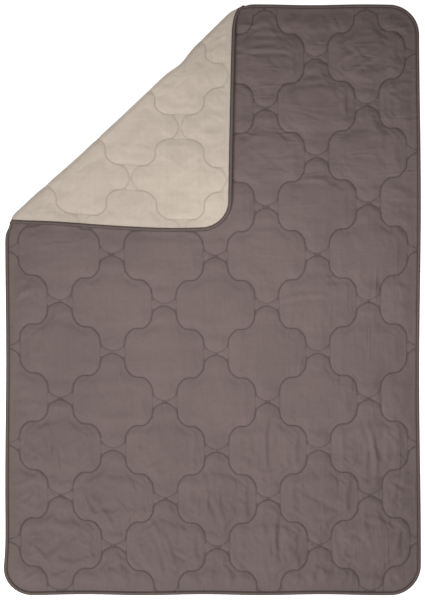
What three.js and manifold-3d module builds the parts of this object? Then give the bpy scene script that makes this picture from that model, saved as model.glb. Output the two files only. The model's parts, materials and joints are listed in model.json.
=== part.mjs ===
// Camp quilt, 1400 mm wide and 2000 mm long, lying flat with its upper left corner turned back.
// X runs across the width, Y along the length, Z up from the surface that it lies on.
// Every layer is shaped lying flat, then cut along the crease; the corner is turned over on it.
import * as THREE from "three";
import Module from "manifold-3d";

const WIDTH = 1400;
const LENGTH = 2000;
const CORNER_RADIUS = 100;
const CORNER_STEPS = 8;
const LOFT = 12; // thickness at the middle of a cell
const FABRIC = 0.8; // thickness of the cover and the lining
const GAP = 0.3; // clearance between layers that touch
const STITCH_LOW = 3; // underside of the lining at a stitched line
const STITCH_HIGH = 6.6; // upper face of the cover at a stitched line
const BINDING_WIDTH = 12.5;
const BINDING_CLOTH = 0.8;
const PANEL_INSET = 1.5; // from the outer edge of the binding to the edge of the layers inside it
const PUFF_INSET = 60; // the loft is full this far in from the outer edge
const FLAT_INSET = 45; // the underside lies flat this far in from the outer edge
const BINDING_SEAM_INSET = 10.8;

const CELL_HALF_WIDTH = 174;
const CELL_HALF_LENGTH = 164.4;
const CELL_SHIFT = 3.6; // the middle column of cells starts this far right of the centre line
const FIRST_ROW_Y = 983.5;
const SAG = 15.5; // the rows of cells sag by this much in the middle of row SAG_ROW
const SAG_ROW = 8;
const SAG_RISE = 1.5; // and rise again towards the sides, times the column squared
const LEAN = 1.2; // the columns shift right by this much in each row
const BOW = 0.7; // and left by this much times the column squared
const ROWS = 12;
const COLUMNS = 8;
const THREAD_WIDTH = 1.4;
const THREAD_HEIGHT = 0.6;
const ROW_SEPARATION = 1; // two row lines pass a meeting point this far either side of it
const SHORTEST_THREAD = 30;

const FOLD_TURN = THREE.MathUtils.degToRad(44); // crease's inward normal, measured from -Y
const FOLD_DEPTH = 548; // from the unturned corner to the crease
const FOLD_STEPS = 8;
const CREASE_CLEARANCE = 0.15;
const CREASE_HEIGHT = LOFT + CREASE_CLEARANCE;

// One stitched strand between two meeting points, as shares of the cell's half width and length.
const STRAND = [
  [0, 0],
  [0.18, 0.09],
  [0.275, 0.38],
  [0.5, 0.5],
  [0.725, 0.62],
  [0.82, 0.91],
  [1, 1],
];
const NECK = 0.242; // a column line passes a meeting point this share of a half width beside it
const PILLOW_RING = [
  [0, -0.7],
  [0.3, -0.32],
  [0.55, 0],
  [0.3, 0.32],
  [0, 0.7],
  [-0.3, 0.32],
  [-0.55, 0],
  [-0.3, -0.32],
];
const RING_RISE = 0.85; // share of the full rise reached at the pillow ring
const RING_ANCHORS = [0, 3, 5, 7, 10, 13, 15, 17, 20];

const wasm = await Module();
wasm.setup();
const quilt = new THREE.Group();
quilt.name = "camp_quilt";

const fabric = (color) => new THREE.MeshStandardMaterial({ color, roughness: 0.9 });
const MATERIALS = {
  cover: fabric(0x796a67),
  lining: fabric(0xc6b9ac),
  batt: fabric(0xe9e7e1),
  binding: fabric(0x695a55),
  thread: fabric(0x5f524e),
  liningThread: fabric(0xb3a597),
};

const inward = new THREE.Vector3(Math.sin(FOLD_TURN), -Math.cos(FOLD_TURN), 0);
const squareCorner = new THREE.Vector3(-WIDTH / 2, LENGTH / 2, 0);
const creaseOffset = squareCorner.dot(inward) + FOLD_DEPTH;
const creaseTop = new THREE.Vector3(
  -WIDTH / 2 + FOLD_DEPTH / inward.x,
  LENGTH / 2,
  CREASE_HEIGHT,
);
const creaseSide = new THREE.Vector3(
  -WIDTH / 2,
  LENGTH / 2 + FOLD_DEPTH / inward.y,
  CREASE_HEIGHT,
);
const creaseLength = creaseTop.distanceTo(creaseSide);
const alongCrease = creaseSide.clone().sub(creaseTop).normalize();
const turnOver = new THREE.Matrix4()
  .makeTranslation(creaseTop.x, creaseTop.y, creaseTop.z)
  .multiply(new THREE.Matrix4().makeRotationAxis(alongCrease, Math.PI))
  .multiply(
    new THREE.Matrix4().makeTranslation(-creaseTop.x, -creaseTop.y, -creaseTop.z),
  );

function solidFrom(positions, triangles) {
  return new wasm.Manifold(
    new wasm.Mesh({
      numProp: 3,
      vertProperties: new Float32Array(positions),
      triVerts: new Uint32Array(triangles),
    }),
  );
}

function addPiece(name, solid, material, turned = false) {
  const mesh = solid.getMesh();
  const geometry = new THREE.BufferGeometry();
  const positions = new THREE.BufferAttribute(new Float32Array(mesh.vertProperties), 3);
  geometry.setAttribute("position", positions);
  geometry.setIndex(new THREE.BufferAttribute(new Uint32Array(mesh.triVerts), 1));
  if (turned) geometry.applyMatrix4(turnOver);
  const flat = geometry.toNonIndexed();
  flat.computeVertexNormals();
  const piece = new THREE.Mesh(flat, material);
  piece.name = name;
  quilt.add(piece);
}

const mainSide = (solid) =>
  solid.trimByPlane(inward.toArray(), creaseOffset + CREASE_CLEARANCE);
const cornerSide = (solid) =>
  solid.trimByPlane(inward.clone().negate().toArray(), -creaseOffset + CREASE_CLEARANCE);

// Distance in from the quilt's outer edge, negative outside it.
function insetAt(x, y) {
  const dx = Math.abs(x) - (WIDTH / 2 - CORNER_RADIUS);
  const dy = Math.abs(y) - (LENGTH / 2 - CORNER_RADIUS);
  const outside = Math.hypot(Math.max(dx, 0), Math.max(dy, 0));
  return CORNER_RADIUS - outside - Math.min(Math.max(dx, dy), 0);
}

// The quilt's outline drawn in by an inset, as corner arcs joined by straight edges.
function outlineAt(inset) {
  const points = [];
  const radius = CORNER_RADIUS - inset;
  for (let corner = 0; corner < 4; corner++) {
    const cx = (corner === 0 || corner === 3 ? 1 : -1) * (WIDTH / 2 - CORNER_RADIUS);
    const cy = (corner < 2 ? 1 : -1) * (LENGTH / 2 - CORNER_RADIUS);
    for (let step = 0; step <= CORNER_STEPS; step++) {
      const angle = ((corner + step / CORNER_STEPS) * Math.PI) / 2;
      points.push([cx + radius * Math.cos(angle), cy + radius * Math.sin(angle)]);
    }
  }
  return points;
}

// Joins rings of equal length into one closed body; open bodies are capped with the given faces.
function joinRings(rings, closed, capFaces) {
  const positions = [];
  const triangles = [];
  const size = rings[0].length;
  for (const ring of rings) {
    for (const point of ring) positions.push(...point);
  }
  const spans = closed ? rings.length : rings.length - 1;
  for (let i = 0; i < spans; i++) {
    for (let j = 0; j < size; j++) {
      const a = i * size + j;
      const b = i * size + ((j + 1) % size);
      const c = ((i + 1) % rings.length) * size + j;
      const d = ((i + 1) % rings.length) * size + ((j + 1) % size);
      triangles.push(a, b, d, a, d, c);
    }
  }
  if (!closed) {
    const last = (rings.length - 1) * size;
    for (const [a, b, c] of capFaces) {
      triangles.push(a, c, b, last + a, last + b, last + c);
    }
  }
  const made = solidFrom(positions, triangles);
  if (made.volume() > 0) return made;
  for (let i = 0; i < triangles.length; i += 3) {
    const kept = triangles[i + 1];
    triangles[i + 1] = triangles[i + 2];
    triangles[i + 2] = kept;
  }
  return solidFrom(positions, triangles);
}

// Triangles that fill an outline, wound the same way as the outline itself.
function facesOf(points) {
  const outline = points.map(([x, y]) => new THREE.Vector2(x, y));
  const faces = THREE.ShapeUtils.triangulateShape(outline, []);
  const turn = ([a, b, c]) => {
    const toB = outline[b].clone().sub(outline[a]);
    return toB.cross(outline[c].clone().sub(outline[a]));
  };
  const total = faces.reduce((sum, face) => sum + turn(face), 0);
  const matches = total > 0 === THREE.ShapeUtils.area(outline) > 0;
  return matches ? faces : faces.map(([a, b, c]) => [a, c, b]);
}

// A slab whose upper face follows the given insets and heights in from the outline.
function steppedSlab(edgeInset, floor, levels) {
  const rings = [
    outlineAt(edgeInset).map(([x, y]) => [x, y, floor]),
    outlineAt(edgeInset).map(([x, y]) => [x, y, levels[0][1]]),
  ];
  for (const [inset, height] of levels) {
    rings.push(outlineAt(inset).map(([x, y]) => [x, y, height]));
  }
  return joinRings(rings, false, facesOf(outlineAt(edgeInset)));
}

// A closed band around the outline with the given section of insets and heights.
function bandAround(section) {
  const rings = section.map(([inset, height]) =>
    outlineAt(inset).map(([x, y]) => [x, y, height]),
  );
  return joinRings(rings, true, []);
}

// Where a point of the pattern lies, from its column and row. Whole numbers are meeting points.
function patternPoint(column, row) {
  const lean = LEAN * row - BOW * column ** 2;
  const sag = SAG * (1 - ((row - SAG_ROW) / SAG_ROW) ** 2);
  const rise = SAG_RISE * column ** 2 * Math.min(Math.max(row, 0), 1);
  const x = CELL_SHIFT + column * CELL_HALF_WIDTH + lean;
  const y = FIRST_ROW_Y - row * CELL_HALF_LENGTH - sag + rise;
  return [x, y];
}

// The outline of one puffed cell, from its lower meeting point anticlockwise.
function cellOutline() {
  const lowerRight = STRAND.slice(0, 5).map(([x, y]) => [x, y - 1]);
  const upperRight = lowerRight.map(([x, y]) => [x, -y]).reverse();
  const right = [...lowerRight, [1 - NECK, 0], ...upperRight];
  const left = right
    .slice(1, -1)
    .map(([x, y]) => [-x, y])
    .reverse();
  return [...right, ...left];
}

// Triangles of one cell, as [x share, y share, rise share] corners.
function cellFaces() {
  const outline = cellOutline().map(([x, y]) => [x, y, 0]);
  const ring = PILLOW_RING.map(([x, y]) => [x, y, RING_RISE]);
  const faces = [];
  let i = 0;
  let j = 0;
  while (i < outline.length || j < ring.length) {
    const turnAt = (RING_ANCHORS[j] + RING_ANCHORS[Math.min(j + 1, ring.length)]) / 2;
    const edge = outline[i % outline.length];
    const inner = ring[j % ring.length];
    if (j === ring.length || (i < outline.length && i + 0.5 < turnAt)) {
      faces.push([edge, outline[(i + 1) % outline.length], inner]);
      i++;
    } else {
      faces.push([edge, ring[(j + 1) % ring.length], inner]);
      j++;
    }
  }
  for (let n = 0; n < ring.length; n++) {
    faces.push([ring[n], ring[(n + 1) % ring.length], [0, 0, 1]]);
  }
  for (const side of [1, -1]) {
    const tip = STRAND.slice(4).map(([x, y]) => [side * x, y - 1, 0]);
    const fan = [...tip, ...tip.slice(0, 2).map(([x, y]) => [x, -y, 0]).reverse()];
    for (let n = 0; n < fan.length - 1; n++) {
      const neck = [side * (1 - NECK), 0, 0];
      faces.push(side > 0 ? [neck, fan[n], fan[n + 1]] : [neck, fan[n + 1], fan[n]]);
    }
  }
  return faces;
}

// Everything below a quilted face: level along the stitched lines, rising or dipping in each cell.
function belowQuilting(floor, stitched, middle) {
  const positions = [];
  const triangles = [];
  const known = new Map();
  const vertex = (x, y, rise) => {
    const key = `${Math.round(x * 50)},${Math.round(y * 50)}`;
    if (!known.has(key)) {
      known.set(key, positions.length / 3);
      positions.push(x, y, stitched + rise * (middle - stitched));
      positions.push(x, y, floor);
    }
    return known.get(key);
  };
  const faces = cellFaces();
  const edges = new Map();
  for (let row = -1; row <= ROWS + 1; row++) {
    for (let column = -COLUMNS / 2 - 1; column <= COLUMNS / 2 + 1; column++) {
      if ((row + column) % 2 !== 0) continue;
      for (const face of faces) {
        const [a, b, c] = face.map(([x, y, rise]) =>
          vertex(...patternPoint(column + x, row - y), rise),
        );
        triangles.push(a, b, c, a + 1, c + 1, b + 1);
        for (const [from, to] of [[a, b], [b, c], [c, a]]) {
          if (!edges.delete(`${to},${from}`)) edges.set(`${from},${to}`, [from, to]);
        }
      }
    }
  }
  for (const [from, to] of edges.values()) {
    triangles.push(from, from + 1, to + 1, from, to + 1, to);
  }
  return solidFrom(positions, triangles);
}

// Everything below the cover's upper face, lowered by a depth.
function belowTop(depth, edgeInset) {
  const stitched = STITCH_HIGH - depth;
  const puffed = belowQuilting(-20, stitched, LOFT - depth);
  const edge = [
    [BINDING_WIDTH + 1.5, stitched],
    [PUFF_INSET, LOFT + 1 - depth],
  ];
  return puffed.intersect(steppedSlab(edgeInset, -10, edge));
}

// Everything below the lining's under face, raised by a height. The quilt's weight presses the
// cells flat underneath; on the turned corner nothing presses on them, so they stay puffed.
function belowLining(height, edgeInset, pressed) {
  const stitched = STITCH_LOW + height;
  const edge = [[BINDING_WIDTH + 1.5, stitched]];
  if (pressed) {
    edge.push([FLAT_INSET, height]);
    return steppedSlab(edgeInset, -10, edge);
  }
  edge.push([PUFF_INSET, height - 1.5]);
  const puffed = belowQuilting(-20, stitched, height);
  const frame = steppedSlab(edgeInset, -10, [[PANEL_INSET + 0.1, 40]]);
  return puffed.intersect(frame).add(steppedSlab(edgeInset, -10, edge));
}

const OUTER = PANEL_INSET;
const CUTTER = PANEL_INSET - 0.7;

const cover = belowTop(0, OUTER).subtract(belowTop(FABRIC, CUTTER));
const battTop = belowTop(FABRIC + GAP, OUTER);
const layers = (pressed) => ({
  batt: battTop.subtract(belowLining(FABRIC + GAP, CUTTER, pressed)),
  lining: belowLining(FABRIC, OUTER, pressed).subtract(belowLining(0, CUTTER, pressed)),
});
const lying = layers(true);
const turnedLayers = layers(false);

// Folded tape that holds the raw edges of the three layers.
const BINDING_TOP = STITCH_HIGH + GAP + BINDING_CLOTH;
const BINDING_BOTTOM = STITCH_LOW - GAP - BINDING_CLOTH;
const bindingSection = [
  [BINDING_WIDTH, BINDING_BOTTOM],
  [1.6, BINDING_BOTTOM],
  [0, BINDING_BOTTOM + 1.6],
  [0, BINDING_TOP - 1.6],
  [1.6, BINDING_TOP],
  [BINDING_WIDTH, BINDING_TOP],
  [BINDING_WIDTH, BINDING_TOP - BINDING_CLOTH],
  [1.1, BINDING_TOP - BINDING_CLOTH],
  [1.1, BINDING_BOTTOM + BINDING_CLOTH],
  [BINDING_WIDTH, BINDING_BOTTOM + BINDING_CLOTH],
];
const binding = bandAround(bindingSection);

const seamSection = (base, up) => [
  [BINDING_SEAM_INSET - THREAD_WIDTH / 2, base],
  [BINDING_SEAM_INSET + THREAD_WIDTH / 2, base],
  [BINDING_SEAM_INSET, base + up * THREAD_HEIGHT],
];
const seamUpper = bandAround(seamSection(BINDING_TOP + GAP, 1));
const seamLower = bandAround(seamSection(BINDING_BOTTOM - GAP, -1));

addPiece("top_cover", mainSide(cover), MATERIALS.cover);
addPiece("insulation_batt", mainSide(lying.batt), MATERIALS.batt);
addPiece("lining", mainSide(lying.lining), MATERIALS.lining);
addPiece("edge_binding", mainSide(binding), MATERIALS.binding);
addPiece("binding_seam_upper", mainSide(seamUpper), MATERIALS.thread);
addPiece("binding_seam_lower", mainSide(seamLower), MATERIALS.thread);
addPiece("corner_cover", cornerSide(cover), MATERIALS.cover, true);
addPiece("corner_batt", cornerSide(turnedLayers.batt), MATERIALS.batt, true);
addPiece("corner_lining", cornerSide(turnedLayers.lining), MATERIALS.lining, true);
addPiece("corner_binding", cornerSide(binding), MATERIALS.binding, true);
addPiece("corner_seam_inner", cornerSide(seamUpper), MATERIALS.thread, true);
addPiece("corner_seam_outer", cornerSide(seamLower), MATERIALS.thread, true);

// A row line runs between two rows of meeting points, touching the upper and the lower by turns.
function rowLine(row) {
  const points = [];
  for (let column = -COLUMNS / 2 - 1; column <= COLUMNS / 2; column++) {
    const high = (row + column) % 2 !== 0;
    const [from, to] = high ? [row, row + 1] : [row + 1, row];
    for (const [along, down] of STRAND.slice(0, -1)) {
      const [x, y] = patternPoint(column + along, from + down * (to - from));
      const pull = ROW_SEPARATION * Math.max(0, 1 - down * 8) * (high ? -1 : 1);
      const lift = ROW_SEPARATION * Math.max(0, down * 8 - 7) * (high ? 1 : -1);
      points.push([x, y + pull + lift]);
    }
  }
  return points;
}

// A column line follows the strands and passes beside each meeting point.
function columnLine(column) {
  const points = [];
  for (let row = -1; row <= ROWS + 1; row++) {
    const left = (row + column) % 2 !== 0;
    const from = left ? column : column + 1;
    const side = left ? 1 : -1;
    points.push(patternPoint(from + side * NECK, row));
    for (const [x, y] of STRAND.slice(2, 5)) {
      points.push(patternPoint(from + side * x, row + y));
    }
  }
  return points;
}

// The stretches of a line on which a test holds, ended where it starts or stops holding.
function stretches(line, holds) {
  const found = [];
  let current = [];
  for (let i = 0; i < line.length - 1; i++) {
    const steps = 12;
    const at = (t) => [0, 1].map((n) => line[i][n] + t * (line[i + 1][n] - line[i][n]));
    if (holds(line[i])) current.push(line[i]);
    for (let step = 0; step < steps; step++) {
      let low = step / steps;
      let high = (step + 1) / steps;
      const before = holds(at(low));
      if (before === holds(at(high))) continue;
      for (let n = 0; n < 24; n++) {
        const middle = (low + high) / 2;
        if (holds(at(middle)) === before) low = middle;
        else high = middle;
      }
      current.push(at(low));
      if (before) {
        found.push(current);
        current = [];
      }
    }
  }
  if (current.length > 1) found.push(current);
  const reach = (s) => Math.hypot(s.at(-1)[0] - s[0][0], s.at(-1)[1] - s[0][1]);
  return found.filter((s) => reach(s) > SHORTEST_THREAD);
}

// A thread with a flat base on the cloth, along a line at one height.
function thread(line, base, up) {
  const rings = line.map(([x, y], i) => {
    const [ax, ay] = line[Math.max(i - 1, 0)];
    const [bx, by] = line[Math.min(i + 1, line.length - 1)];
    const span = Math.hypot(bx - ax, by - ay);
    const ox = ((ay - by) / span) * (THREAD_WIDTH / 2);
    const oy = ((bx - ax) / span) * (THREAD_WIDTH / 2);
    return [
      [x - ox, y - oy, base],
      [x + ox, y + oy, base],
      [x, y, base + up * THREAD_HEIGHT],
    ];
  });
  return joinRings(rings, false, [[0, 1, 2]]);
}

const ROW_BASE = STITCH_HIGH + GAP;
const COLUMN_BASE = ROW_BASE + THREAD_HEIGHT + GAP;
const ROW_UNDER = STITCH_LOW - GAP;
const COLUMN_UNDER = ROW_UNDER - THREAD_HEIGHT - GAP;
const insideSeam = ([x, y]) => insetAt(x, y) > BINDING_WIDTH + 0.7;
const beyondCrease = ([x, y]) => x * inward.x + y * inward.y - creaseOffset;
const onMain = (p) => insideSeam(p) && beyondCrease(p) > 1;
const onCorner = (p) => insideSeam(p) && beyondCrease(p) < -1;

function addStitching(kind, number, line, base, under) {
  const label = `${kind}_${String(number).padStart(2, "0")}`;
  stretches(line, onMain).forEach((run, n) => {
    const name = `stitch_${label}${n ? `_part${n + 1}` : ""}`;
    addPiece(name, thread(run, base, 1), MATERIALS.thread);
  });
  stretches(line, onCorner).forEach((run, n) => {
    const suffix = n ? `_part${n + 1}` : "";
    const back = thread(run, under, -1);
    addPiece(`corner_stitch_${label}${suffix}`, back, MATERIALS.liningThread, true);
  });
}

for (let row = 0; row < ROWS; row++) {
  addStitching("row", row + 1, rowLine(row), ROW_BASE, ROW_UNDER);
}
for (let column = 0; column < COLUMNS; column++) {
  const line = columnLine(column - COLUMNS / 2);
  addStitching("column", column + 1, line, COLUMN_BASE, COLUMN_UNDER);
}

// The rolled fold that joins the corner to the rest: half turns about the crease.
// A section gives distances in from the fold's end and heights in the flat quilt. The slants keep
// each end of the fold in line with the quilt's straight edge.
function foldPiece(section, fromEnd, direction, nearSlant, farSlant) {
  const rings = [];
  for (let step = 0; step <= FOLD_STEPS; step++) {
    const angle = Math.PI * (step / FOLD_STEPS - 0.5);
    rings.push(
      section.map(([distance, height]) => {
        const radius = CREASE_HEIGHT - height;
        const out = radius * Math.cos(angle) + 2 * CREASE_CLEARANCE;
        const share = distance / creaseLength;
        const slant = nearSlant * (1 - share) - farSlant * share;
        const point = fromEnd
          .clone()
          .addScaledVector(direction, distance + out * slant)
          .addScaledVector(inward, -out);
        return [point.x, point.y, CREASE_HEIGHT + radius * Math.sin(angle)];
      }),
    );
  }
  return joinRings(rings, false, facesOf(section));
}

const endStretch = { top: 1 / Math.abs(alongCrease.y), side: 1 / Math.abs(alongCrease.x) };
const endSlant = {
  top: Math.abs(inward.y / alongCrease.y),
  side: Math.abs(inward.x / alongCrease.x),
};
const foldEdge = (PANEL_INSET + 0.4) * endStretch.top;
const foldFlat = (BINDING_WIDTH + 1.5) * endStretch.top;
const foldFull = PUFF_INSET * endStretch.top;
function foldLayer(lowEnd, highEnd, lowMiddle, highMiddle) {
  const line = [
    [foldEdge, lowEnd],
    [foldFlat, lowEnd],
    [foldFull, lowMiddle],
    [creaseLength - foldFull, lowMiddle],
    [creaseLength - foldFlat, lowEnd],
    [creaseLength - foldEdge, lowEnd],
    [creaseLength - foldEdge, highEnd],
    [creaseLength - foldFlat, highEnd],
    [creaseLength - foldFull, highMiddle],
    [foldFull, highMiddle],
    [foldFlat, highEnd],
    [foldEdge, highEnd],
  ];
  return foldPiece(line, creaseTop, alongCrease, endSlant.top, endSlant.side);
}

const INNER = LOFT - 1; // the cover turns about the crease this high in the flat quilt
const coverLow = STITCH_HIGH - FABRIC;
const liningHigh = STITCH_LOW + FABRIC;
const foldCover = foldLayer(coverLow, STITCH_HIGH, INNER - FABRIC, INNER);
const foldBatt = foldLayer(
  liningHigh + GAP,
  coverLow - GAP,
  FABRIC + GAP,
  INNER - FABRIC - GAP,
);
const foldLining = foldLayer(STITCH_LOW, liningHigh, 0, FABRIC);
function foldBinding(end, direction, stretch, slant) {
  const section = bindingSection.map(([inset, height]) => [inset * stretch, height]);
  return foldPiece(section, end, direction, slant, -slant);
}
const towardsTop = alongCrease.clone().negate();
const wrapTop = foldBinding(creaseTop, alongCrease, endStretch.top, endSlant.top);
const wrapSide = foldBinding(creaseSide, towardsTop, endStretch.side, endSlant.side);

addPiece("fold_cover", foldCover, MATERIALS.cover);
addPiece("fold_batt", foldBatt, MATERIALS.batt);
addPiece("fold_lining", foldLining, MATERIALS.lining);
addPiece("fold_binding_top", wrapTop, MATERIALS.binding);
addPiece("fold_binding_side", wrapSide, MATERIALS.binding);

export default quilt;
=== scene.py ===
"""Camp quilt lying flat with one corner turned back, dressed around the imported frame."""
import json
import math

import bmesh
import bpy
import numpy as np
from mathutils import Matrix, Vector
from mathutils.kdtree import KDTree

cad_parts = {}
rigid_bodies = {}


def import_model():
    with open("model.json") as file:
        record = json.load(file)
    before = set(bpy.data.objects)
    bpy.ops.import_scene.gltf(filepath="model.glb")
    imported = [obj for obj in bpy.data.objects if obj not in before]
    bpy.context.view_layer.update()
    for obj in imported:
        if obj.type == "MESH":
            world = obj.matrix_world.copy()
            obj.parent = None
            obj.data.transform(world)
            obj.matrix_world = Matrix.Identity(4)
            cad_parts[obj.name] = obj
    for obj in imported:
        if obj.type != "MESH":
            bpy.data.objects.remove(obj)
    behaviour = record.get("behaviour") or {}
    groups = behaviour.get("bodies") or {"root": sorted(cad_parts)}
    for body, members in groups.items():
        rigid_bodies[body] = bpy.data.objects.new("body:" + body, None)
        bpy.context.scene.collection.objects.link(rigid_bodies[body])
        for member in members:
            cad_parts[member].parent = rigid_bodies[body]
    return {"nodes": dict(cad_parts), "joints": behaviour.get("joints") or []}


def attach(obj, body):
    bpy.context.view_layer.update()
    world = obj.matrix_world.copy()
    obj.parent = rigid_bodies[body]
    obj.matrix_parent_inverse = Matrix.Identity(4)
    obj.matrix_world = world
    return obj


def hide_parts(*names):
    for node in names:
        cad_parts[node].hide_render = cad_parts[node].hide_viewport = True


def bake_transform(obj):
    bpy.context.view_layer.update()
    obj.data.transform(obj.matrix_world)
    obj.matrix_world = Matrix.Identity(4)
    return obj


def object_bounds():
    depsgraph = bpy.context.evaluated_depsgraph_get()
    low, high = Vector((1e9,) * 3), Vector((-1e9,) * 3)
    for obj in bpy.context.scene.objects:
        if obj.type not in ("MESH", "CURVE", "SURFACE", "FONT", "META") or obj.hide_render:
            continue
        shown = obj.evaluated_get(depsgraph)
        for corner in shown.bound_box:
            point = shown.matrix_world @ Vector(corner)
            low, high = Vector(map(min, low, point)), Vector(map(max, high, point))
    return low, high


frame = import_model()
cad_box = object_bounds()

# ---------------------------------------------------------------- sizes, in metres
WIDTH = cad_box[1].x - cad_box[0].x
LENGTH = cad_box[1].y - cad_box[0].y
CORNER_RADIUS = 0.1
BINDING_WIDTH = 0.0125
CELL_X, CELL_Y = 0.174, 0.1644  # half width and half length of a quilted cell
CELL_SHIFT, FIRST_ROW_Y = 0.008, 0.9835
ROWS, COLUMNS = 12, 8
SAG_ROW, SAG = 8, 0.0155  # the rows sag most about this row, in the middle
SAG_RISE, LEAN, BOW = 0.0015, 0.0012, 0.0007
LEAN_START = 0.0044  # the columns start this far to the left at the top
# Slack adds to a line's gap, so its painted seam shade is fainter.
SLACK_FIRM, SLACK_GAP = 0.3, 0.0045  # firmness of a slack line, and what slack adds to a gap
NECK = 0.242  # a column line passes a meeting point this share of a half width beside it
ROW_GAP = 0.0036  # a row line keeps this far from the meeting point itself
LINE_STEP = 0.0012  # spacing of the points kept along a stitched line

STEP = 0.0062  # spacing of the cloth's vertices
COVER_STITCH, COVER_RISE = 0.0056, 0.009  # height at a stitched line, and of a pillow above it
PRESSED_RISE = 0.0062  # the same where the turned corner lies on it
LINING_STITCH, LINING_RISE = 0.0036, 0.0045
LINING_REST = 0.0004  # the underside, where the quilt's weight presses it flat
EDGE_LOW, EDGE_HIGH = 0.0008, 0.0064  # lower and upper face of the binding
TAPE = 0.0006
WRINKLE_LIMIT = 0.003  # the most that a simulated wrinkle adds
CLOTH_INSET = 0.005  # the cloth ends this far inside the binding's outer edge
BINDING_SEAM = 0.0108  # the seam that holds the binding, this far in from its outer edge

joint = frame["joints"][0]
ROOT, CORNER = joint["parent"], joint["child"]
HINGE = np.array(joint["pos_m"])
ALONG = np.array(joint["axis"]) / np.linalg.norm(joint["axis"])
INWARD = np.cross([0.0, 0.0, 1.0], ALONG)
FOLD_LENGTH = (-WIDTH / 2 - HINGE[0]) / ALONG[0]
FOLD_DEPTH = float(HINGE[:2] @ INWARD[:2] - np.array([-WIDTH / 2, LENGTH / 2]) @ INWARD[:2])

# ---------------------------------------------------------------- camera, lights, floor
LENS = 90
camera = bpy.data.objects.new("camera", bpy.data.cameras.new("camera"))
camera.data.lens = LENS
camera.data.sensor_width = 36
camera.data.clip_end = 50
camera.location = (0, 0, LENGTH * 1.016 * LENS / 36 + 0.01)
bpy.context.scene.collection.objects.link(camera)
bpy.context.scene.camera = camera


def softbox(name, location, aim, size, power):
    light = bpy.data.objects.new(name, bpy.data.lights.new(name, "AREA"))
    light.data.shape = "RECTANGLE"
    light.data.size, light.data.size_y = size
    light.data.energy = power
    light.location = location
    light.rotation_euler = (Vector(aim) - Vector(location)).to_track_quat("-Z", "Y").to_euler()
    light.visible_camera = False
    bpy.context.scene.collection.objects.link(light)


softbox("overhead", (0.05, 0.05, 1.4), (0.05, 0.05, 0), (1.15, 0.3), 12.5)
softbox("front", (-1.4, -3.3, 2.8), (0, 0, 0), (1.2, 0.8), 109)

world = bpy.data.worlds.new("studio")
bpy.context.scene.world = world
world.use_nodes = True
world.node_tree.nodes["Background"].inputs["Color"].default_value = (1, 1, 1, 1)
world.node_tree.nodes["Background"].inputs["Strength"].default_value = 0.12
bpy.context.scene.view_settings.view_transform = "Standard"


def smooth(t):
    t = np.clip(t, 0, 1)
    return t * t * (3 - 2 * t)


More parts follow.
